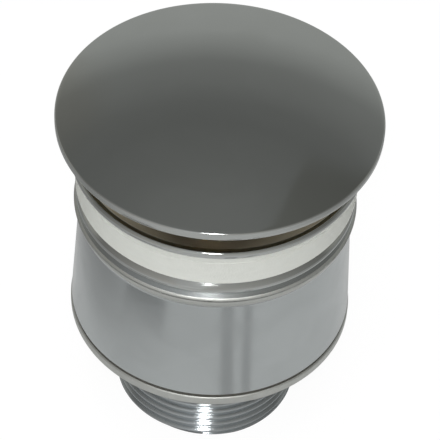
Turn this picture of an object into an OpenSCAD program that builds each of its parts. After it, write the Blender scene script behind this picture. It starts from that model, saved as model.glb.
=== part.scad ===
// Free-flow basin waste: a mushroom cap that stands over an always open
// flanged body, with the gaskets, ring, bell cover and backnut that clamp the
// body in a basin. Millimetres, +Z up, origin on the axis at the tail's end.

/* [Waste body] */
// Height from the tail's end to the flange's lip
body_h = 75.3; // [74:0.1:100]
// Width of the flange's lip past the gaskets
lip_overhang = 1.15; // [0.8:0.05:5]
// Thickness of the flange at its lip
lip_t = 2; // [1.9:0.1:3]
// Width of the flat top of the lip
lip_w = 1.4; // [0.8:0.1:2]
// Radius on the lip's two outer edges
lip_round = 0.9; // [0.1:0.05:0.95]
// Depth of the conical dish below the lip
dish_depth = 6.3; // [4:0.1:7]
// Width of the flat ring under the lip that the gasket seals on
seat_w = 2.1; // [1.5:0.1:3]
// Height of the cone under the flange
cone_h = 7.2; // [5:0.1:8]
// Wall of the shank round the throat that takes the strainer
throat_wall = 1.955; // [1.5:0.005:3]
// Width of the eased edge round the throat
throat_edge = 0.8; // [0.2:0.1:1]
// Depth of the throat below the dish
throat_depth = 7; // [6:0.1:9]

/* [Tail thread] */
// Outside diameter of the tail's thread
tail_d = 41.91; // [36:0.01:48]
// Wall of the tail below the thread's roots
tail_wall = 1.976; // [1.5:0.001:4]
// Pitch of the tail's thread
thread_pitch = 2.309; // [2:0.001:3]
// Depth of the tail's thread
thread_depth = 1.479; // [1:0.001:1.6]
// Width of a crest of the tail's thread
thread_crest = 0.385; // [0.3:0.005:0.5]
// Chamfer at the tail's end
tail_chamfer = 0.4; // [0.3:0.1:1.4]
// Height of the first full crest, above the chamfer
tail_land = 1.45; // [0.4:0.05:2]
// Plain length of shank between the pressure ring's underside and the thread
thread_runout = 0.4; // [0:0.1:2]

/* [Gaskets] */
// Width of both gaskets past the pressure ring
gasket_step = 0.1; // [0:0.05:0.5]
// Thickness of the gasket under the flange
upper_gasket_t = 2.1; // [1.5:0.1:4]
// Thickness of the gasket under the basin
lower_gasket_t = 6.4; // [5:0.1:8]
// Radius on the gaskets' outer edges
gasket_round = 0.25; // [0.1:0.05:0.5]

/* [Clamping parts] */
// Width of the bell cover's collar past the pressure ring
ring_step = 0.4; // [0:0.05:1]
// Thickness of the pressure ring
ring_t = 3.2; // [3:0.05:6]
// Chamfer on the pressure ring's upper edge
ring_chamfer = 2.3; // [0.3:0.1:2.4]
// Radius on the pressure ring's lower edge
ring_round = 0.3; // [0.1:0.05:0.5]
// Width of the bell cover's collar past its waist
shoulder_w = 1.1; // [0.6:0.05:3]
// Depth of the collar's top below the pressure ring's seat
collar_drop = 0.5; // [0:0.05:0.7]
// Radius on the collar's top edge
collar_round = 1.5; // [0.2:0.1:1.6]
// Straight height of the collar
collar_band = 3.2; // [2.4:0.1:4]
// Height of the collar with its shoulder
collar_h = 5.2; // [4.2:0.1:8]
// Flare of the bell cover from its waist to its mouth
mouth_flare = 1.65; // [0.5:0.05:5]
// Width of the hem past the mouth
hem_w = 0.2; // [0.1:0.05:2]
// Height of the hem
hem_h = 2.6; // [1.7:0.1:4]
// Radius on the hem's edges
hem_round = 0.6; // [0.2:0.1:0.6]
// Height of the groove above the hem
groove_h = 0.9; // [0.2:0.1:1]
// Depth of the groove above the hem
groove_depth = 0.4; // [0.1:0.05:0.4]
// Height of the bell cover
bell_h = 36.3; // [24:0.1:44]
// Wall of the bell cover
bell_wall = 1; // [0.6:0.1:1.2]
// Thickness of the bell cover's inner web
web_t = 1.2; // [0.8:0.1:2]
// Width of the backnut's corners past the fibre washer
washer_inset = 0.2; // [0:0.1:2]
// Thickness of the fibre washer
washer_t = 1.5; // [1:0.1:2.5]
// Wall of the backnut at its flats
nut_wall = 3.045; // [2:0.005:5]
// Height of the backnut
nut_h = 8; // [5:0.1:12]
// Chamfer on the backnut's corners
nut_chamfer = 1.1; // [0.5:0.1:2]

/* [Cap] */
// Width of the cap past the flange's lip
cap_overhang = 3.2; // [0:0.1:8]
// Water gap between the flange's lip and the cap's rim
cap_gap = 7.5; // [7:0.1:12]
// Height of the cap's rim
rim_h = 1.9; // [1.8:0.1:3]
// Width of the cap's rim
rim_w = 2; // [1.4:0.1:4]
// Radius between the dome and the rim
rim_round = 0.5; // [0.3:0.1:1.2]
// Radius on the rim's lower edge
edge_round = 0.4; // [0.1:0.1:0.5]
// Rise of the dome above the rim
dome_rise = 5.6; // [4.5:0.1:9]
// Thickness of the cap under the dome
cap_wall = 1.8; // [1.2:0.1:2]
// Diameter of the threaded boss under the cap
boss_d = 15; // [12:0.5:20]
// Height of the boss
boss_h = 7; // [5:0.1:8]
// Depth of the boss's blind thread
boss_thread = 5.5; // [3.5:0.1:6]
// Width of the flat under the cap past the boss
boss_margin = 1; // [0.5:0.1:3]

/* [Post and strainer] */
// Outside diameter of the post's thread
post_d = 8; // [6:0.5:10]
// Pitch of the post's thread
post_pitch = 1.25; // [1:0.05:1.5]
// Depth of the post's thread
post_thread = 0.7; // [0.4:0.05:0.8]
// Length of the post
post_l = 31; // [29:0.5:40]
// Diameter of the nylon washer under the boss
cap_washer_d = 14; // [11.5:0.5:20]
// Thickness of the nylon washer under the boss
cap_washer_t = 1; // [0.6:0.1:1.5]
// Diameter of the strainer's hub
hub_d = 14; // [12:0.5:16]
// Height of the strainer's hub
hub_h = 7; // [5:0.1:8]
// Height of the strainer's ring
cross_ring_h = 6; // [4.5:0.1:6]
// Wall of the strainer's ring
cross_ring_wall = 1.8; // [1.5:0.1:2.5]
// Number of the strainer's arms
arm_count = 4; // [2:1:6]
// Thickness of an arm
arm_t = 2.2; // [1.5:0.1:3]
// Height of an arm
arm_h = 5; // [3:0.1:6]
// Thickness of the strainer's O-ring
o_ring_d = 1.6; // [1.2:0.1:1.8]
// Part of the O-ring's thickness that is left when the throat squeezes it
o_ring_squeeze = 0.8; // [0.7:0.05:0.9]
// Width of the O-ring's groove past the O-ring
o_ring_room = 0.3; // [0.1:0.05:0.6]
// Diameter of the lock washer
lock_washer_d = 13.6; // [12:0.1:16]
// Thickness of the lock washer
lock_washer_t = 1.2; // [0.8:0.1:1.6]
// Width across the lock nut's flats
lock_nut_af = 13; // [12:0.5:16]
// Height of the lock nut
lock_nut_h = 4; // [3:0.1:4.5]
// Chamfer on the lock nut's corners
lock_nut_chamfer = 0.7; // [0.3:0.1:1]

/* [Clearances] */
// Radial play in a screw thread or a turned fit
play = 0.05; // [0.02:0.01:0.09]
// Radial room of a washer, gasket or ring round the thread
room = 0.35; // [0.3:0.05:0.6]
// Room between the backnut's corners and the bell cover
nut_room = 1.34; // [0.3:0.01:4]

/* [Hidden] */
$fn = 96;
// Facets round a turned part, steps along a round and steps along the dome
TURN_STEPS = 180;
ARC_STEPS = 6;
DOME_STEPS = 28;
// Length by which a cut passes the faces it opens
CUT = 1;
// Shares of a washer's thickness that its edge's radius takes, moulded and stamped
MOULDED_EDGE = 0.25;
STAMPED_EDGE = 0.16;
// Width of the flat between the collar's top edge and the step to the pressure ring's seat
CREASE = 0.1;
// Share of the pitch that a crest of the post's thread takes
POST_CREST = 0.17;
// Share of its thickness by which the O-ring bulges from its groove to either side
O_RING_BULGE = 0.33;

// Radii, from the tail's thread outwards
tail_r = tail_d / 2;
bore_r = tail_r - thread_depth - tail_wall;
throat_r = tail_r - throat_wall;
loose_r = tail_r + room;
nut_af = 2 * (tail_r + nut_wall);
nut_corner_r = nut_af / 2 / cos(30);
washer_r = nut_corner_r - washer_inset;
waist_r = nut_corner_r + nut_room + bell_wall;
mouth_r = waist_r + mouth_flare;
hem_r = mouth_r + hem_w;
collar_r = waist_r + shoulder_w;
ring_r = collar_r - ring_step;
gasket_r = ring_r + gasket_step;
flange_r = gasket_r + lip_overhang;
cap_r = flange_r + cap_overhang;
boss_r = boss_d / 2;
post_r = post_d / 2;

// Levels, from the flange's lip down
lip_z = body_h;
seat_z = lip_z - lip_t;
dish_z = lip_z - dish_depth;
shoulder_z = dish_z - throat_depth;
seam_z = seat_z - upper_gasket_t;
gasket_z = seam_z - lower_gasket_t;
ring_z = gasket_z - ring_t;
web_z = ring_z - web_t;
washer_z = web_z - washer_t;
nut_z = washer_z - nut_h;
mouth_z = ring_z - bell_h;
thread_top = ring_z - thread_runout;

// The dome is a sphere that would meet the rim's outside at rim_z, and a round joins both
dome_sphere_r = (cap_r * cap_r + dome_rise * dome_rise) / (2 * dome_rise);
dome_lean = asin((cap_r - rim_round) / (dome_sphere_r - rim_round));
dome_edge_r = dome_sphere_r * sin(dome_lean);

// The cone under the flange runs from the seat's inner edge to the shank
seat_r = flange_r - seat_w;
cone_z = seat_z - cone_h;
cone_slope = (seat_r - tail_r) / cone_h;

// Levels, from the flange's lip up
cap_z = lip_z + cap_gap;
rim_z = cap_z + rim_h;
boss_seat_r = boss_r + boss_margin;
boss_top = dome_z(boss_seat_r) - cap_wall;
boss_z = boss_top - boss_h;
post_top = boss_z + boss_thread;
post_z = post_top - post_l;
hub_top = shoulder_z + hub_h;
cross_r = throat_r - play;
o_ring_z = shoulder_z + cross_ring_h / 2;
o_ring_floor = throat_r - o_ring_d * o_ring_squeeze;

CHROME = [0.78, 0.79, 0.79];
BRASS = [0.72, 0.60, 0.36];
STEEL = [0.62, 0.63, 0.64];
WHITE_RUBBER = [0.90, 0.90, 0.88];
NYLON = [0.86, 0.85, 0.80];
FIBRE = [0.62, 0.24, 0.18];
BLACK_RUBBER = [0.12, 0.12, 0.12];

// Height of the dome's outside at radius r
function dome_z(r) = rim_z + dome_rise - dome_sphere_r + sqrt(dome_sphere_r * dome_sphere_r - r * r);

// Radius of the shank and of the cone under the flange at height z
function cone_r(z) = tail_r + max(0, z - cone_z) * cone_slope;

// Points of an arc round (x, z), from angle a to angle b
function arc(x, z, r, a, b) = [
    for (i = [0:ARC_STEPS])
        let (t = a + (b - a) * i / ARC_STEPS)
        [x + r * cos(t), z + r * sin(t)]
];

// Points down a thread's outside, between heights top and bottom: crests at radius r, and roots
// as wide as the crests
function thread_points(r, depth, pitch, crest, top, bottom) =
    let (count = floor((top - bottom) / pitch))
    let (flank = pitch / 2 - crest)
    [
        for (i = [count - 1:-1:0])
            let (z = bottom + i * pitch)
            each [
                [r, z + flank * 2 + crest],
                [r - depth, z + flank + crest],
                [r - depth, z + flank],
                [r, z],
            ]
    ];

module turn(points) {
    rotate_extrude($fn = TURN_STEPS)
        polygon(points);
}

// A washer with rounded outer edges
module rounded_ring(outer, inner, low, high, round) {
    turn(concat(
        [[inner, low]],
        arc(outer - round, low + round, round, -90, 0),
        arc(outer - round, high - round, round, 0, 90),
        [[inner, high]]
    ));
}

// A hexagon nut with chamfered corners and a plain bore
module hex_nut(flats, height, bore, chamfer, low) {
    corner_r = flats / 2 / cos(30);
    translate([0, 0, low])
        difference() {
            intersection() {
                cylinder(h = height, r = corner_r, $fn = 6);
                turn([
                    [0, 0],
                    [corner_r - chamfer, 0],
                    [corner_r, chamfer / 2],
                    [corner_r, height - chamfer / 2],
                    [corner_r - chamfer, height],
                    [0, height],
                ]);
            }
            translate([0, 0, -CUT])
                cylinder(h = height + 2 * CUT, r = bore);
        }
}

// Turned dome with a short upright rim, hollow below
module dome_cap() {
    hollow_r = cap_r - rim_w;
    round_z = dome_z(dome_edge_r) - rim_round * cos(dome_lean);
    color(CHROME)
        turn(concat(
            [for (i = [0:DOME_STEPS - 1]) let (r = dome_edge_r * i / DOME_STEPS) [r, dome_z(r)]],
            arc(cap_r - rim_round, round_z, rim_round, 90 - dome_lean, 0),
            arc(cap_r - edge_round, cap_z + edge_round, edge_round, 0, -90),
            [[hollow_r, cap_z]],
            [
                for (i = [0:DOME_STEPS])
                    let (r = hollow_r + (boss_seat_r - hollow_r) * i / DOME_STEPS)
                    [r, dome_z(r) - cap_wall]
            ],
            [[0, boss_top]]
        ));
}

// Threaded boss brazed to the flat under the cap
module cap_boss() {
    color(BRASS)
        difference() {
            translate([0, 0, boss_z])
                cylinder(h = boss_h, r = boss_r);
            translate([0, 0, boss_z - CUT])
                cylinder(h = boss_thread + CUT, r = post_r + play);
        }
}

// Threaded post between the boss and the strainer's hub
module cap_post() {
    crest = post_pitch * POST_CREST;
    high = post_top - post_thread;
    low = post_z + post_thread;
    color(STEEL)
        turn(concat(
            [[0, post_top], [post_r - post_thread, post_top], [post_r, high]],
            thread_points(post_r, post_thread, post_pitch, crest, high, low + crest),
            [[post_r, low], [post_r - post_thread, post_z], [0, post_z]]
        ));
}

// Nylon washer held against the boss
module cap_washer() {
    edge = cap_washer_t * MOULDED_EDGE;
    color(NYLON)
        rounded_ring(cap_washer_d / 2, post_r + play, boss_z - cap_washer_t, boss_z, edge);
}

// Thin nut that locks the post on the strainer's hub
module lock_nut() {
    color(STEEL)
        hex_nut(lock_nut_af, lock_nut_h, post_r + play, lock_nut_chamfer, hub_top + lock_washer_t);
}

// Plain washer under the lock nut
module lock_washer() {
    edge = lock_washer_t * STAMPED_EDGE;
    color(STEEL)
        rounded_ring(lock_washer_d / 2, post_r + play, hub_top, hub_top + lock_washer_t, edge);
}

// Ring, arms and threaded hub that stand on the throat's shoulder
module strainer_cross() {
    inner_r = cross_r - cross_ring_wall;
    groove_h = o_ring_d + o_ring_room;
    color(BRASS)
        difference() {
            union() {
                translate([0, 0, shoulder_z])
                    difference() {
                        cylinder(h = cross_ring_h, r = cross_r);
                        translate([0, 0, -CUT])
                            cylinder(h = cross_ring_h + 2 * CUT, r = inner_r);
                    }
                translate([0, 0, shoulder_z])
                    cylinder(h = hub_h, r = hub_d / 2);
                for (i = [0:arm_count - 1])
                    rotate([0, 0, 360 / arm_count * i])
                        translate([0, -arm_t / 2, shoulder_z])
                            cube([cross_r - cross_ring_wall / 2, arm_t, arm_h]);
            }
            translate([0, 0, shoulder_z - CUT])
                cylinder(h = hub_h + 2 * CUT, r = post_r + play);
            turn([
                [o_ring_floor, o_ring_z - groove_h / 2],
                [throat_r + CUT, o_ring_z - groove_h / 2],
                [throat_r + CUT, o_ring_z + groove_h / 2],
                [o_ring_floor, o_ring_z + groove_h / 2],
            ]);
        }
}

// O-ring that holds the strainer in the throat, flattened on the groove's floor
module strainer_o_ring() {
    outer_r = throat_r - play;
    bulge = o_ring_d * O_RING_BULGE;
    color(BLACK_RUBBER)
        turn(concat(
            [[o_ring_floor, o_ring_z - bulge]],
            arc(outer_r - bulge, o_ring_z, bulge, -90, 90),
            [[o_ring_floor, o_ring_z + bulge]]
        ));
}

// Flange, throat and threaded tail, turned from one casting
module waste_body() {
    land_z = tail_chamfer + tail_land;
    color(CHROME)
        turn(concat(
            [
                [bore_r, shoulder_z],
                [throat_r, shoulder_z],
                [throat_r, dish_z],
                [throat_r + throat_edge, dish_z + throat_edge / 2],
                [flange_r - lip_w, lip_z],
            ],
            arc(flange_r - lip_round, lip_z - lip_round, lip_round, 90, 0),
            arc(flange_r - lip_round, seat_z + lip_round, lip_round, 0, -90),
            [
                [seat_r, seat_z],
                [tail_r, cone_z],
                [tail_r, thread_top],
            ],
            thread_points(tail_r, thread_depth, thread_pitch, thread_crest, thread_top, land_z),
            [
                [tail_r, tail_chamfer],
                [tail_r - tail_chamfer, 0],
                [bore_r, 0],
            ]
        ));
}

// Thin gasket that seals the flange on the basin, with a conical bore
module upper_gasket() {
    color(WHITE_RUBBER)
        turn(concat(
            [[cone_r(seam_z) + room, seam_z]],
            arc(gasket_r - gasket_round, seam_z + gasket_round, gasket_round, -90, 0),
            arc(gasket_r - gasket_round, seat_z - gasket_round, gasket_round, 0, 90),
            [[cone_r(seat_z) + room, seat_z]]
        ));
}

// Thick gasket under the basin, coned inside so that it passes the flange
module lower_gasket() {
    color(WHITE_RUBBER)
        turn(concat(
            [[cone_r(gasket_z) + room, gasket_z]],
            arc(gasket_r - gasket_round, gasket_z + gasket_round, gasket_round, -90, 0),
            arc(gasket_r - gasket_round, seam_z - gasket_round, gasket_round, 0, 90),
            [[cone_r(seam_z) + room, seam_z]],
            gasket_z < cone_z ? [[loose_r, cone_z]] : []
        ));
}

// Turned ring that presses the lower gasket on the basin, chamfered above
module pressure_ring() {
    color(CHROME)
        turn(concat(
            [[loose_r, ring_z]],
            arc(ring_r - ring_round, ring_z + ring_round, ring_round, -90, 0),
            [
                [ring_r, gasket_z - ring_chamfer],
                [ring_r - ring_chamfer, gasket_z],
                [loose_r, gasket_z],
            ]
        ));
}

// Flared cover that hides the backnut, spun from sheet, with a groove above its hemmed mouth
module bell_cover() {
    hem_top = mouth_z + hem_h;
    groove_top = hem_top + groove_h;
    collar_top = ring_z - collar_drop;
    color(CHROME)
        turn(concat(
            [
                [loose_r, web_z],
                [loose_r, ring_z],
                [collar_r - collar_round - collar_drop - CREASE, ring_z],
            ],
            arc(collar_r - collar_round, collar_top - collar_round, collar_round, 90, 0),
            [
                [collar_r, ring_z - collar_band],
                [waist_r, ring_z - collar_h],
                [mouth_r, groove_top],
                [mouth_r - groove_depth, groove_top],
                [mouth_r - groove_depth, hem_top],
            ],
            arc(hem_r - hem_round, hem_top - hem_round, hem_round, 90, 0),
            arc(hem_r - hem_round, mouth_z + hem_round, hem_round, 0, -90),
            [
                [mouth_r - bell_wall, mouth_z],
                [mouth_r - bell_wall, groove_top],
                [waist_r - bell_wall, ring_z - collar_h],
                [waist_r - bell_wall, web_z],
            ]
        ));
}

// Fibre washer between the backnut and the bell cover's web
module fibre_washer() {
    color(FIBRE)
        rounded_ring(washer_r, loose_r, washer_z, web_z, washer_t * STAMPED_EDGE);
}

// Hexagon nut that draws the body down
module backnut() {
    color(BRASS)
        hex_nut(nut_af, nut_h, tail_r + play, nut_chamfer, nut_z);
}

dome_cap();
cap_boss();
cap_post();
cap_washer();
lock_nut();
lock_washer();
strainer_cross();
strainer_o_ring();
waste_body();
upper_gasket();
lower_gasket();
pressure_ring();
bell_cover();
fibre_washer();
backnut();
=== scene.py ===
import bmesh
import bpy
import numpy as np
from mathutils import Matrix, Quaternion, Vector


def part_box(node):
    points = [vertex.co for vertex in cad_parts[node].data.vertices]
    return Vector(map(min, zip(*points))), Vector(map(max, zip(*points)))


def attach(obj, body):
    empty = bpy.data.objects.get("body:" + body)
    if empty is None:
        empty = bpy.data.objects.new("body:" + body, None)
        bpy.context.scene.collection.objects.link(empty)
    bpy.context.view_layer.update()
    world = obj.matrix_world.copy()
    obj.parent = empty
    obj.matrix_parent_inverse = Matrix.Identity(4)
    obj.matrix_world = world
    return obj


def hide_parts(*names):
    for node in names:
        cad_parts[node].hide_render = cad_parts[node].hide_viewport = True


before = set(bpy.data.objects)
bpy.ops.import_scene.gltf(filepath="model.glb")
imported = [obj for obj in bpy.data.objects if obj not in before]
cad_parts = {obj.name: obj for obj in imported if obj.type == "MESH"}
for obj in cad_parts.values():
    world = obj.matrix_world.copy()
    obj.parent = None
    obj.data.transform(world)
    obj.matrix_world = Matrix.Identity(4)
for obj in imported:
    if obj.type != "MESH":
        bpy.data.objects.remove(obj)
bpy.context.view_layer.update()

# Waste body: flange, throat and G 1 1/4 tail in one brass casting, turned on a lathe, screw-cut
# along the whole shank and chrome plated. Lengths are in millimetres, heights above the tail's end.
MM = 0.001
PER_MM = 1 / MM
COLUMNS = 224
ROUND_STEPS = 6
CORNER_POINTS = ROUND_STEPS + 3
GUARD = 0.05
MERGE = 0.004
# Edges without a chamfer are rounded a little by the tool, the file or the buffing wheel.
SOFT_EDGE = 0.3
EDGE = 0.2
CRISP_EDGE = 0.1
LIP_R, LIP_Z = np.array(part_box("waste_body")[1])[[0, 2]] / MM
LIP_T = 2.0
LIP_W = 1.4
LIP_ROUND = 0.9
SEAT_Z = LIP_Z - LIP_T
SEAT_R = LIP_R - 2.1
CONE_Z = SEAT_Z - 7.2
CONE_ROUND = 1.0
THROAT_R = 19.0
THROAT_LEAD = 0.8
DISH_Z = LIP_Z - 6.3
DISH_FOOT_Z = DISH_Z + 0.4
DISH_ROUND = 0.5
SHOULDER_Z = DISH_Z - 7.0
SHOULDER_ROUND = 0.15
BORE_R = 17.5
BORE_EDGE = 0.3
FOOT_R = BORE_R + 0.6
TAIL_R = 20.955
TAIL_CHAMFER = 0.4
THREAD_TOP = 61.2
THREAD_PITCH = 2.309
THREAD_DEPTH = 1.479
THREAD_FADE = 2.0
THREAD_ROWS = 8
THREAD_FLAT = 1 / 6
THREAD_EASE = 0.3


def rounded_outline(corners):
    """Points of a closed outline with its corners rounded, CORNER_POINTS for each corner.

    Each corner is (radius from the axis, height, size of round). With unit vectors a and b from the
    corner to its neighbours and h half the angle between them, the round touches both sides at
    round / tan(h) from the corner, and its centre lies on a + b at round / sin(h). The round is the
    even turn from one touching point to the other. A guard point just outside each keeps the
    straight side's shading straight.
    """
    point, size = np.array(corners, float)[:, :2], np.array(corners, float)[:, 2:]
    a = np.roll(point, 1, axis=0) - point
    b = np.roll(point, -1, axis=0) - point
    a /= np.linalg.norm(a, axis=1, keepdims=True)
    b /= np.linalg.norm(b, axis=1, keepdims=True)
    half = np.arccos(np.clip((a * b).sum(axis=1, keepdims=True), -1, 1)) / 2
    middle = a + b
    middle /= np.linalg.norm(middle, axis=1, keepdims=True)
    reach = size / np.tan(half)
    centre = point + middle * size / np.sin(half)
    start = ((point + a * reach - centre) / size)[:, None]
    end = ((point + b * reach - centre) / size)[:, None]
    sweep = (np.pi - 2 * half)[:, None, :]
    step = np.linspace(0, 1, ROUND_STEPS + 1)[None, :, None]
    turn = (np.sin((1 - step) * sweep) * start + np.sin(step * sweep) * end) / np.sin(sweep)
    arc = centre[:, None] + size[:, None] * turn
    before = (point + a * (reach + GUARD))[:, None]
    after = (point + b * (reach + GUARD))[:, None]
    return np.concatenate([before, arc, after], axis=1).reshape(-1, 2)


def grid_faces(rows, columns, closed_rows=False, closed_columns=True):
    """Quads of a grid of points, row by row.

    Each quad joins a point, its right neighbour and the two above them. A closed direction's last
    row or column is followed by its first.
    """
    below = np.arange(rows if closed_rows else rows - 1)
    above = (below + 1) % rows
    left = np.arange(columns if closed_columns else columns - 1)
    right = (left + 1) % columns
    corners = [below[:, None] * columns + left, below[:, None] * columns + right,
               above[:, None] * columns + right, above[:, None] * columns + left]
    return np.stack(corners, axis=-1).reshape(-1, 4)


def mesh_piece(name, points, faces):
    """A smooth object from points in millimetres and faces, with points nearer than MERGE made one."""
    mesh = bpy.data.meshes.new(name)
    mesh.from_pydata((points * MM).tolist(), [], faces.tolist())
    work = bmesh.new()
    work.from_mesh(mesh)
    bmesh.ops.remove_doubles(work, verts=work.verts, dist=MERGE * MM)
    bmesh.ops.dissolve_degenerate(work, edges=work.edges, dist=MERGE * MM / 4)
    bmesh.ops.recalc_face_normals(work, faces=work.faces)
    work.to_mesh(mesh)
    work.free()
    mesh.shade_smooth()
    piece = bpy.data.objects.new(name, mesh)
    bpy.context.scene.collection.objects.link(piece)
    return piece


def revolved(outline):
    """Points of an outline carried round the axis: (r cos t, r sin t, z) for t in equal steps of a turn."""
    t = np.arange(COLUMNS) * 2 * np.pi / COLUMNS
    r, z = outline[:, :1], outline[:, 1:]
    return np.stack(np.broadcast_arrays(r * np.cos(t), r * np.sin(t), z), axis=-1).reshape(-1, 3)


def turned(name, outline, closed=True):
    """A turned piece: the outline carried round the axis, closed on itself or, at the axis, by its poles."""
    return mesh_piece(name, revolved(outline), grid_faces(len(outline), COLUMNS, closed))


def dress(piece, material, body, slot, *nodes):
    """Gives a piece its material and its body, and hides the CAD nodes that it stands for. The slot is not
    used.
    """
    piece.data.materials.clear()
    piece.data.materials.append(material)
    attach(piece, body)
    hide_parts(*nodes)


def second_finish(piece, material, where):
    """Gives a second material to the faces whose centre's radius r and height z make where(r, z) true."""
    piece.data.materials.append(material)
    centres = np.empty(len(piece.data.polygons) * 3)
    piece.data.polygons.foreach_get("center", centres)
    x, y, z = centres.reshape(-1, 3).T / MM
    chosen = where(np.hypot(x, y), z)
    index = np.empty(len(chosen), np.int32)
    piece.data.polygons.foreach_get("material_index", index)
    index[chosen] = len(piece.data.materials) - 1
    piece.data.polygons.foreach_set("material_index", index)


def screw_rows(radius, depth, pitch, low, high, chamfers, fade, columns=COLUMNS):
    """Points of a right-hand thread's outside, whose rows climb one pitch a turn.

    Row i has height low + pitch (i / THREAD_ROWS + t / one turn), held between low and high. The
    groove is a triangle wave of that height less t, cut off by THREAD_FLAT of its depth at crest and
    at root. THREAD_EASE of it follows a cosine, which eases its corners. It fades to the plain shank
    over the last fade millimetres. The radius is no more than the chamfers' cones allow at the low
    and the high end.
    """
    count = int(np.ceil((high - low) / pitch)) + 1
    t = np.linspace(0, 1, columns + 1)[None, :]
    i = np.arange(-THREAD_ROWS, count * THREAD_ROWS + 1)[:, None]
    z = np.clip(low + pitch * (i / THREAD_ROWS + t), low, high)
    wave = 1 - np.abs(2 * (((z - low) / pitch - t) % 1) - 1)
    cut = np.clip((wave - THREAD_FLAT) / (1 - 2 * THREAD_FLAT), 0, 1)
    groove = (1 - THREAD_EASE) * cut + THREAD_EASE * (0.5 - 0.5 * np.cos(np.pi * cut))
    r = radius - depth * groove * np.clip((high - z) / fade, 0, 1)
    r = np.minimum(r, radius - chamfers[0] + (z - low))
    r = np.minimum(r, radius - chamfers[1] + (high - z))
    a = 2 * np.pi * t
    return np.stack([r * np.cos(a), r * np.sin(a), z], axis=-1)


def linear(code):
    """An sRGB hex value turned to linear: c / 12.92 up to 0.04045, ((c + 0.055) / 1.055) ^ 2.4 above it."""
    c = np.array([int(code[i:i + 2], 16) for i in (1, 3, 5)]) / 255
    return (*np.where(c <= 0.04045, c / 12.92, ((c + 0.055) / 1.055) ** 2.4), 1.0)


def add(tree, kind, inputs=None, **settings):
    """Adds a node of that kind to a tree, with its settings, and its inputs filled or linked."""
    node = tree.nodes.new(kind)
    for name, value in settings.items():
        setattr(node, name, value)
    for name, value in (inputs or {}).items():
        if isinstance(value, bpy.types.NodeSocket):
            tree.links.new(value, node.inputs[name])
        else:
            node.inputs[name].default_value = value
    return node


def start_material(name):
    """An empty material of that name, its tree, its output, and the Object coordinates."""
    material = bpy.data.materials.new(name)
    material.use_nodes = True
    tree = material.node_tree
    tree.nodes.clear()
    output = add(tree, "ShaderNodeOutputMaterial")
    return material, tree, output, add(tree, "ShaderNodeTexCoord").outputs["Object"]


# The buffing wheel leaves slow waves of about this size in every polished surface.
WAVE_SIZE = 9
# The part of the cloudy noise's range in which the shine goes from its first to its second value.
PATCH_RANGE = (0.38, 0.7)


def plated_metal(name, light, dark, patch, shine, grain_size, grain_depth, wave_depth=0.0):
    """A plated or plain metal whose colour and shine change in patches, with a fine grain.

    A cloudy noise of the patch's size in millimetres leads the colour from light to dark and the
    roughness from the first to the second value of shine. A fine noise of the grain's size lifts
    the surface by the grain's depth, and a slow one of WAVE_SIZE by the wave's depth.
    """
    material, tree, output, place = start_material(name)
    patches = add(tree, "ShaderNodeTexNoise", {"Vector": place, "Scale": PER_MM / patch, "Detail": 5,
                                               "Distortion": 0.8})
    waves = add(tree, "ShaderNodeTexNoise", {"Vector": place, "Scale": PER_MM / WAVE_SIZE, "Detail": 1})
    grain = add(tree, "ShaderNodeTexNoise", {"Vector": place, "Scale": PER_MM / grain_size, "Detail": 2})
    tint = add(tree, "ShaderNodeMix", {0: patches.outputs["Fac"], 6: linear(light), 7: linear(dark)},
               data_type="RGBA")
    dull = add(tree, "ShaderNodeMapRange", {"Value": patches.outputs["Fac"],
                                            "From Min": PATCH_RANGE[0], "From Max": PATCH_RANGE[1],
                                            "To Min": shine[0], "To Max": shine[1]})
    wave_bump = add(tree, "ShaderNodeBump", {"Height": waves.outputs["Fac"], "Distance": wave_depth * MM})
    bump = add(tree, "ShaderNodeBump", {"Height": grain.outputs["Fac"], "Distance": grain_depth * MM,
                                        "Normal": wave_bump.outputs["Normal"]})
    metal = add(tree, "ShaderNodeBsdfPrincipled", {"Base Color": tint.outputs[2], "Metallic": 1.0,
                                                   "Roughness": dull.outputs[0],
                                                   "Normal": bump.outputs["Normal"]})
    tree.links.new(metal.outputs[0], output.inputs["Surface"])
    return material


# Bright chrome plate on polished brass: a cool, nearly neutral mirror. The eye sees soft waves left
# by the buffing wheel, and wiped smears that dull the mirror a little in patches.
bright_chrome = plated_metal("bright_chrome_on_polished_brass", "#C5C8C6", "#BDC0BD", patch=14,
                             shine=(0.06, 0.12), grain_size=0.35, grain_depth=0.0004, wave_depth=0.02)
# The same plate over the cut thread keeps the tool's fine marks, which run round the tail: they draw
# every reflection out up and down, and leave it narrow sideways.
THREAD_STRETCH = 0.95
QUARTER_TURN = 0.25
thread_chrome = plated_metal("chrome_plate_on_cut_thread", "#C6CCCE", "#B9BFC2", patch=6,
                             shine=(0.2, 0.25), grain_size=0.4, grain_depth=0.002)
tree = thread_chrome.node_tree
metal = next(node for node in tree.nodes if node.type == "BSDF_PRINCIPLED")
round_the_tail = add(tree, "ShaderNodeTangent", direction_type="RADIAL", axis="Z")
metal.inputs["Anisotropic"].default_value = THREAD_STRETCH
metal.inputs["Anisotropic Rotation"].default_value = QUARTER_TURN
tree.links.new(round_the_tail.outputs[0], metal.inputs["Tangent"])
# Chrome thrown into a hollow is thin: the brass shows through as a warm, cloudy, unpolished grey.
hollow_chrome = plated_metal("thin_chrome_in_a_hollow", "#D6D1C2", "#C4BAA4", patch=11,
                             shine=(0.28, 0.42), grain_size=0.6, grain_depth=0.01)

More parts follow.
